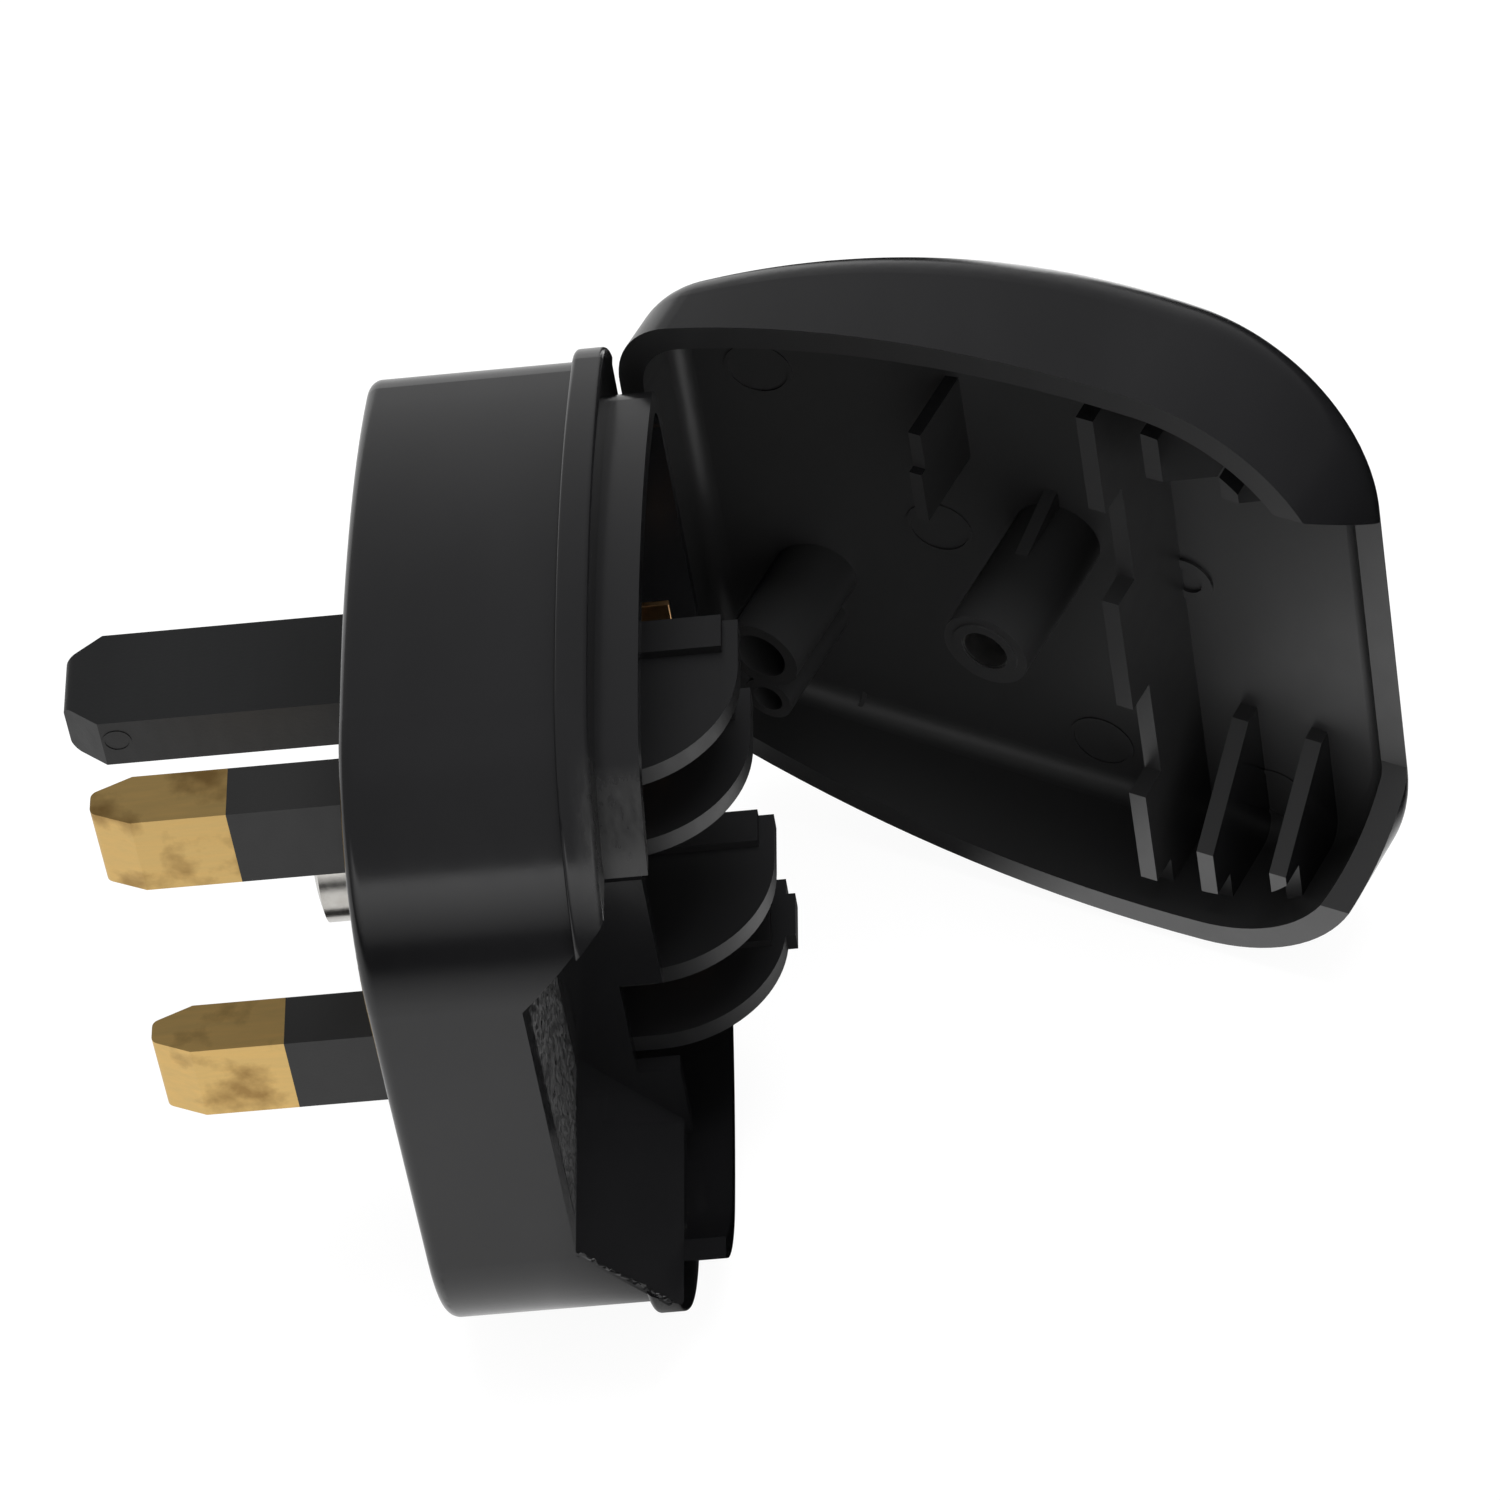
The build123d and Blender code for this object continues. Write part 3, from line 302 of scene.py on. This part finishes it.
def black_moulding(name, black, gloss, grain):
    """Black moulded plastic: faint flow marks in its colour, fine rubbing in its gloss and a slight grain."""
    finish, nodes, join, shader, place = new_finish(name, gloss)
    flow = noise(nodes, join, place, scale=60.0, detail=4.0, stretch=(1.0, 0.35, 1.0))
    paler = [1.5 * part for part in black]
    join(ramp(nodes, join, flow, 0.35, 0.7, black, paler), shader.inputs["Base Color"])
    rubbing = noise(nodes, join, place, scale=900.0, detail=6.0, stretch=(1.0, 0.12, 0.5))
    join(spread(nodes, join, rubbing, low=0.8 * gloss, high=1.3 * gloss), shader.inputs["Roughness"])
    fine = noise(nodes, join, place, scale=4500.0, detail=2.0)
    add_bump(nodes, join, shader, fine, depth=grain)
    return finish, nodes, join, shader, place


def metal(name, colour, dark, roughness, stretch, stain):
    """Metal with rolling or turning marks and, where stain is above 0, tarnished patches."""
    finish, nodes, join, shader, place = new_finish(name, roughness, metallic=1.0)
    marks = noise(nodes, join, place, scale=1800.0, detail=4.0, stretch=stretch)
    patches = noise(nodes, join, place, scale=260.0, detail=5.0)
    tarnish = spread(nodes, join, between(nodes, join, patches, low=0.5, high=0.68), low=0.0, high=stain)
    darker = [0.88 * part for part in colour]
    clean = ramp(nodes, join, marks, 0.3, 0.7, darker, colour)
    join(blended(nodes, join, tarnish, clean, dark), shader.inputs["Base Color"])
    join(spread(nodes, join, marks, low=0.8 * roughness, high=1.35 * roughness), shader.inputs["Roughness"])
    add_bump(nodes, join, shader, marks, depth=0.006 * MM)
    return finish


def dress(finish, *names):
    """Gives CAD nodes a finish."""
    for name in names:
        node = frame["nodes"][name]
        node.data.materials.clear()
        node.data.materials.append(finish)


def settle(piece, name, body, finish, turn=None):
    """Puts a piece's place in its mesh, names and dresses it, and lets it ride on a body."""
    piece.data.transform((turn or Matrix()) @ piece.matrix_world)
    piece.matrix_world = Matrix()
    piece.name = name
    piece.data.materials.append(finish)
    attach(piece, body)
    bpy.ops.object.select_all(action="DESELECT")


def washer(outer_r, inner_r, thick):
    """A flat ring round Z with its underside on the XY plane."""
    bpy.ops.mesh.primitive_circle_add(vertices=RING_SIDES, radius=outer_r, fill_type="NOTHING")
    ring = bpy.context.object
    bpy.ops.object.mode_set(mode="EDIT")
    bpy.ops.mesh.select_all(action="SELECT")
    bpy.ops.mesh.extrude_edges_move()
    bpy.ops.transform.resize(value=(inner_r / outer_r, inner_r / outer_r, 1.0))
    bpy.ops.mesh.select_all(action="SELECT")
    bpy.ops.mesh.extrude_region_move(TRANSFORM_OT_translate={"value": (0.0, 0.0, thick)})
    bpy.ops.mesh.select_all(action="SELECT")
    bpy.ops.mesh.normals_make_consistent(inside=False)
    bpy.ops.object.mode_set(mode="OBJECT")
    return ring


def facing(place, normal):
    """The turn and shift that lay a piece from the XY plane onto a place with a given normal."""
    return Matrix.Translation(place) @ Vector(normal).to_track_quat("Z", "Y").to_matrix().to_4x4()


def solidified(piece, thick):
    """Gives a sheet its thickness, half on each side."""
    bpy.ops.object.modifier_add(type="SOLIDIFY")
    wall = piece.modifiers[-1]
    wall.thickness = thick
    wall.offset = 0.0
    bpy.ops.object.modifier_apply(modifier=wall.name)


def pick(elements, test, mode):
    """Selects the faces or vertices of the active mesh that pass a test and stays in edit mode."""
    bpy.ops.object.mode_set(mode="EDIT")
    bpy.ops.mesh.select_mode(type=mode)
    bpy.ops.mesh.select_all(action="DESELECT")
    bpy.ops.object.mode_set(mode="OBJECT")
    for element in elements:
        element.select = test(element)
    bpy.ops.object.mode_set(mode="EDIT")


def rough_sheet(across, along, cell, height, thick, seed, edge_only=False):
    """A thin sheet on the XY plane, sizes in millimetres, torn along one edge or uneven all over."""
    counts = [max(1, round(size / cell)) for size in (across, along)]
    bpy.ops.mesh.primitive_grid_add(x_subdivisions=counts[0], y_subdivisions=counts[1], size=1.0)
    sheet = bpy.context.object
    bpy.ops.object.mode_set(mode="EDIT")
    bpy.ops.mesh.select_all(action="SELECT")
    bpy.ops.transform.resize(value=(across * MM, along * MM, 1.0))
    bpy.ops.object.mode_set(mode="OBJECT")
    if edge_only:
        pick(sheet.data.vertices, lambda vertex: vertex.co.y > 0, "VERT")
        bpy.ops.transform.vertex_random(offset=height * MM, uniform=0.4, normal=0.0, seed=seed)
    else:
        reach_x = 0.5 * (across - cell) * MM
        reach_y = 0.5 * (along - cell) * MM
        pick(
            sheet.data.vertices,
            lambda vertex: abs(vertex.co.x) < reach_x and abs(vertex.co.y) < reach_y,
            "VERT",
        )
        bpy.ops.transform.vertex_random(offset=height * MM, uniform=0.1, normal=1.0, seed=seed)
    bpy.ops.object.mode_set(mode="OBJECT")
    solidified(sheet, thick * MM)
    return sheet


def softbox(name, place, aim, width, height, power):
    """A rectangular studio lamp that faces a point."""
    lamp = bpy.data.lights.new(name, "AREA")
    lamp.shape = "RECTANGLE"
    lamp.size = width
    lamp.size_y = height
    lamp.energy = power
    holder = bpy.data.objects.new(name, lamp)
    bpy.context.collection.objects.link(holder)
    direction = (Vector(aim) - Vector(place)).normalized()
    holder.location = place
    holder.rotation_euler = direction.to_track_quat("-Z", "Y").to_euler()
    return holder


# Finishes
base_black, nodes, join, shader, place = black_moulding(
    "base_black", GLOSSY_BLACK, gloss=0.17, grain=0.002 * MM
)
worn = region(nodes, join, place, WORN_LOW, WORN_HIGH, WORN_SOFT)
rubbed = noise(nodes, join, place, scale=2200.0, detail=6.0, stretch=(1.0, 0.4, 0.4))
scuffs = math_of(nodes, join, "MULTIPLY", worn, between(nodes, join, rubbed, low=0.1, high=0.7))
patch(nodes, join, shader, scuffs, WORN_GREY, rougher=0.2)

lid_black, nodes, join, shader, place = black_moulding(
    "lid_black", GLOSSY_BLACK, gloss=0.2, grain=0.003 * MM
)
# The lid's inside faces get the paler black, painted fill light that lifts the shade in its hollow, and more
# roughness for their satin skin
inside = looks_in(nodes, join, place, LID_CENTRE)
patch(nodes, join, shader, inside, INSIDE_PAINTED_FILL_BLACK, rougher=0.24)

carrier_black = black_moulding("carrier_black", CARRIER_BLACK, gloss=0.45, grain=0.004 * MM)[0]
sleeve_black = black_moulding("sleeve_black", SLEEVE_BLACK, gloss=0.36, grain=0.006 * MM)[0]
earth_black = black_moulding("earth_black", EARTH_BLACK, gloss=0.42, grain=0.008 * MM)[0]

pin_brass = metal(
    "pin_brass",
    colour=(0.97, 0.67, 0.26),
    dark=(0.36, 0.2, 0.06),
    roughness=0.45,
    stretch=(0.15, 1.0, 1.0),
    stain=0.75,
)
contact_brass = metal(
    "contact_brass",
    colour=(0.7, 0.42, 0.2),
    dark=(0.3, 0.15, 0.07),
    roughness=0.3,
    stretch=(1.0, 0.2, 1.0),
    stain=0.4,
)
screw_nickel = metal(
    "screw_nickel",
    colour=(0.74, 0.72, 0.68),
    dark=(0.35, 0.3, 0.25),
    roughness=0.2,
    stretch=(1.0, 1.0, 1.0),
    stain=0.2,
)
plain_steel = metal(
    "plain_steel",
    colour=(0.5, 0.5, 0.5),
    dark=(0.2, 0.18, 0.16),
    roughness=0.35,
    stretch=(1.0, 1.0, 0.2),
    stain=0.3,
)
cap_metal = metal(
    "cap_metal",
    colour=(0.66, 0.65, 0.62),
    dark=(0.4, 0.36, 0.3),
    roughness=0.25,
    stretch=(1.0, 0.3, 1.0),
    stain=0.2,
)

ceramic, nodes, join, shader, place = new_finish("fuse_ceramic", roughness=0.55)
specks = noise(nodes, join, place, scale=1400.0)
glaze = ramp(nodes, join, specks, 0.3, 0.7, low_colour=(0.62, 0.58, 0.5), high_colour=(0.7, 0.67, 0.6))
join(glaze, shader.inputs["Base Color"])

dress(base_black, "base_shell")
dress(lid_black, "lid_shell")
dress(carrier_black, "contact_carrier")
dress(sleeve_black, "neutral_pin_sleeve", "live_pin_sleeve")
dress(earth_black, "earth_pin")
dress(pin_brass, "neutral_pin", "live_pin")
dress(contact_brass, "neutral_socket_contact", "live_socket_contact", "neutral_strap")
dress(contact_brass, "fuse_clip_pin_end", "fuse_clip_socket_end")
dress(screw_nickel, "closing_screw")
dress(plain_steel, "screw_retainer", "carrier_screws", "hinge_pin", "boss_insert")
dress(cap_metal, "fuse_cap_pin_end", "fuse_cap_socket_end")
dress(ceramic, "fuse_body")

# Black rim round the hole in the lid's screw boss, over the end of the insert
rim = washer(BOSS_RIM_R * MM, BOSS_RIM_HOLE_R * MM, BOSS_RIM_THICK * MM)
lay = LID_TURN @ facing(Vector(BOSS_PLACE) * MM, (-1, 0, 0))
settle(rim, "boss_rim", "lid", lid_black, lay)

# Marks of the ejector pins: fine rings on the lid's floor, and a smaller, stronger one
lid_node = frame["nodes"]["lid_shell"]
inward = LID_TURN.to_3x3() @ Vector((1.0, 0.0, 0.0))
lid_marks = [(*mark, LID_MARK_R, LID_MARK_LINE, LID_MARK_RISE) for mark in LID_MARKS]
lid_marks.append((*LID_RING, LID_RING_R, LID_RING_LINE, LID_RING_RISE))
for index, (mark_y, mark_z, radius, line, rise) in enumerate(lid_marks):
    start = LID_TURN @ (Vector((LID_RIM_X, mark_y, mark_z)) * MM)
    _, place, normal, _ = lid_node.ray_cast(start, inward)
    mark = washer(radius * MM, (radius - line) * MM, (MARK_SUNK + rise) * MM)
    lay = facing(place - normal * MARK_SUNK * MM, normal)
    settle(mark, f"ejector_mark_{index + 1}", "lid", lid_black, lay)

# Round mark of the moulding tool on the earth pin
mark_hole_r = EARTH_MARK_R - EARTH_MARK_LINE
mark = washer(EARTH_MARK_R * MM, mark_hole_r * MM, (MARK_SUNK + EARTH_MARK_RISE) * MM)
lay = facing((Vector(EARTH_MARK) + Vector((0, MARK_SUNK, 0))) * MM, (0, -1, 0))
settle(mark, "earth_pin_mark", "base", earth_black, lay)

# Uneven skin on the floor of the trough for the two-pin plug
grain = rough_sheet(*GRAIN_SIZE, GRAIN_CELL, GRAIN_HEIGHT, GRAIN_THICK, GRAIN_SEED)
lay = facing(Vector(GRAIN_PLACE) * MM, (1, 0, 0))
settle(grain, "trough_grain", "base", carrier_black, lay)

# Torn flash along the lower edge of the trough's open end
run = Vector(FLASH_TO) - Vector(FLASH_FROM)
flash = rough_sheet(run.length, FLASH_WIDE, FLASH_CELL, FLASH_TEAR, FLASH_THICK, FLASH_SEED, edge_only=True)
middle = (Vector(FLASH_FROM) + Vector(FLASH_TO)) * 0.5 * MM
slant = Matrix.Rotation(math.atan2(-run.z, run.x), 4, "Y")
upright = Matrix.Rotation(math.radians(90), 4, "X")
lay = Matrix.Translation(middle) @ slant @ upright
settle(flash, "trough_flash", "base", base_black, lay)

# Copper tongue at the end of the neutral contact: a foot, and an arm bent away from the pins
bpy.ops.mesh.primitive_plane_add(size=1.0)
tongue = bpy.context.object
bpy.ops.object.mode_set(mode="EDIT")
bpy.ops.mesh.select_all(action="SELECT")
bpy.ops.transform.resize(value=(TONGUE_THICK * MM, TONGUE_HIGH * MM, 1.0))
foot = (TONGUE_BEND_Y - TONGUE_FOOT[1]) * MM
bpy.ops.mesh.extrude_region_move(TRANSFORM_OT_translate={"value": (0.0, 0.0, foot)})
bpy.ops.mesh.extrude_region_move(TRANSFORM_OT_translate={"value": (0.0, 0.0, TONGUE_THICK * MM)})
bpy.ops.object.mode_set(mode="OBJECT")
pick(tongue.data.polygons, lambda face: face.normal.x > 0.9 and face.center.z > foot, "FACE")
arm = (TONGUE_END_X - TONGUE_FOOT[0] - 0.5 * TONGUE_THICK) * MM
bpy.ops.mesh.extrude_region_move(TRANSFORM_OT_translate={"value": (arm, 0.0, 0.0)})
bpy.ops.mesh.select_all(action="SELECT")
bpy.ops.mesh.normals_make_consistent(inside=False)
bpy.ops.mesh.bevel(offset=TONGUE_EDGE * MM, segments=2)
bpy.ops.object.mode_set(mode="OBJECT")
lay = Matrix.Translation(Vector(TONGUE_FOOT) * MM) @ Matrix.Rotation(math.radians(-90), 4, "X")
settle(tongue, "contact_tongue", "base", contact_brass, lay)

# Thread on the closing screw's shank
bpy.ops.mesh.primitive_circle_add(
    vertices=3,
    radius=THREAD_DEPTH * MM,
    location=(THREAD_R * MM, 0.0, 0.0),
    rotation=(math.radians(90), 0.0, 0.0),
)
thread = bpy.context.object
bpy.ops.object.transform_apply(location=True, rotation=True, scale=True)
bpy.ops.object.modifier_add(type="SCREW")
winding = thread.modifiers[-1]
winding.screw_offset = THREAD_PITCH * MM
winding.iterations = THREAD_TURNS
winding.steps = THREAD_STEPS
winding.render_steps = THREAD_STEPS
bpy.ops.object.modifier_apply(modifier=winding.name)
bpy.ops.object.mode_set(mode="EDIT")
bpy.ops.mesh.select_all(action="SELECT")
bpy.ops.mesh.fill_holes(sides=4)
bpy.ops.mesh.normals_make_consistent(inside=False)
bpy.ops.object.mode_set(mode="OBJECT")
lay = Matrix.Translation(Vector(THREAD_FROM) * MM) @ Matrix.Rotation(math.radians(90), 4, "Y")
settle(thread, "screw_thread", "closing_screw", screw_nickel, lay)

# Floor, under the lowest point of the plug
bpy.ops.mesh.primitive_plane_add(size=FLOOR_SIZE, location=(0, 0, cad_box[0][2]))
floor = bpy.context.object
floor.name = "floor"
floor_white, nodes, join, shader, place = new_finish("floor_white", roughness=0.9)
shader.inputs["Base Color"].default_value = (FLOOR_WHITE, FLOOR_WHITE, FLOOR_WHITE, 1.0)
shader.inputs["Specular IOR Level"].default_value = FLOOR_SHEEN
# white to the camera but for a faint shadow, and bright in the gloss where the floor lies near the plug
rays = nodes.new("ShaderNodeLightPath")
split = nodes.new("ShaderNodeSeparateXYZ")
join(place, split.inputs["Vector"])
near = between(nodes, join, split.outputs["Y"], *GLEAM_NEAR)
left = between(nodes, join, split.outputs["X"], *GLEAM_LEFT)
right = between(nodes, join, split.outputs["X"], *GLEAM_RIGHT)
right = math_of(nodes, join, "MULTIPLY", right, GLEAM_RIGHT_SHARE)
right_end = between(nodes, join, split.outputs["X"], *GLEAM_RIGHT_END)
right = math_of(nodes, join, "MULTIPLY", right, right_end)
sides = math_of(nodes, join, "ADD", left, right)
gleam = math_of(nodes, join, "MULTIPLY", math_of(nodes, join, "MULTIPLY", near, FLOOR_GLEAM), sides)
gleam = math_of(nodes, join, "MULTIPLY", rays.outputs["Is Glossy Ray"], gleam)
glow = nodes.new("ShaderNodeEmission")
bright = math_of(nodes, join, "MULTIPLY", rays.outputs["Is Camera Ray"], FLOOR_GLOW)
join(math_of(nodes, join, "MAXIMUM", bright, gleam), glow.inputs["Strength"])
seen = math_of(nodes, join, "MULTIPLY", rays.outputs["Is Camera Ray"], 1.0 - SHADOW_SHARE)
seen = math_of(nodes, join, "MAXIMUM", seen, rays.outputs["Is Glossy Ray"])
shown = nodes.new("ShaderNodeMixShader")
join(seen, shown.inputs["Fac"])
join(shader.outputs["BSDF"], shown.inputs[1])
join(glow.outputs["Emission"], shown.inputs[2])
join(shown.outputs["Shader"], nodes["Material Output"].inputs["Surface"])
floor.data.materials.append(floor_white)

# Room: white behind the plug; the gloss reflects a dim room, bright low behind and in a band in front
world = bpy.data.worlds.new("room")
bpy.context.scene.world = world
world.use_nodes = True
nodes, join = nodes_of(world)
rays = nodes.new("ShaderNodeLightPath")
aim = nodes.new("ShaderNodeTexCoord")
split = nodes.new("ShaderNodeSeparateXYZ")
join(aim.outputs["Generated"], split.inputs["Vector"])
behind = math_of(nodes, join, "POWER", between(nodes, join, split.outputs["Y"], 0.0, 1.0), ROOM_BACK_FOCUS)
ahead = between(nodes, join, split.outputs["Y"], *ROOM_BAND_AHEAD)
rising = between(nodes, join, split.outputs["Z"], 0.0, ROOM_BAND_TOP)
ending = between(nodes, join, split.outputs["Z"], ROOM_BAND_TOP + ROOM_BAND_EDGE, ROOM_BAND_TOP)
band = math_of(nodes, join, "MULTIPLY", math_of(nodes, join, "MULTIPLY", rising, ending), ahead)
leftward = between(nodes, join, split.outputs["X"], *ROOM_RIGHT)
away = spread(nodes, join, leftward, ROOM_DIM_RIGHT, 1.0)
light = math_of(nodes, join, "MULTIPLY", away, ROOM_DIM)
light = math_of(nodes, join, "ADD", light, math_of(nodes, join, "MULTIPLY", behind, ROOM_BACK))
light = math_of(nodes, join, "ADD", light, math_of(nodes, join, "MULTIPLY", band, ROOM_BAND))
soft = math_of(nodes, join, "MULTIPLY", rays.outputs["Is Diffuse Ray"], ROOM_SOFT)
light = math_of(nodes, join, "MAXIMUM", light, soft)
dim = nodes["Background"]
dim.inputs["Color"].default_value = (1.0, 1.0, 1.0, 1.0)
join(light, dim.inputs["Strength"])
white = nodes.new("ShaderNodeBackground")
white.inputs["Color"].default_value = (1.0, 1.0, 1.0, 1.0)
shown = nodes.new("ShaderNodeMixShader")
join(rays.outputs["Is Camera Ray"], shown.inputs["Fac"])
join(dim.outputs["Background"], shown.inputs[1])
join(white.outputs["Background"], shown.inputs[2])
join(shown.outputs["Shader"], nodes["World Output"].inputs["Surface"])

# Top lamp, which only casts the shadow, because the room already gives what the gloss reflects
shadow_lamp = softbox("top_softbox", LAMP_PLACE, LAMP_AIM, LAMP_WIDTH, LAMP_HEIGHT, LAMP_POWER)
shadow_lamp.visible_glossy = False

# Camera
view = bpy.data.cameras.new("view")
view.lens = CAMERA_LENS
view.sensor_width = CAMERA_SENSOR
camera = bpy.data.objects.new("view", view)
camera.location = CAMERA_PLACE
camera.rotation_euler = [math.radians(turn) for turn in CAMERA_TURN]
bpy.context.collection.objects.link(camera)
scene = bpy.context.scene
scene.camera = camera
scene.view_settings.view_transform = "Standard"
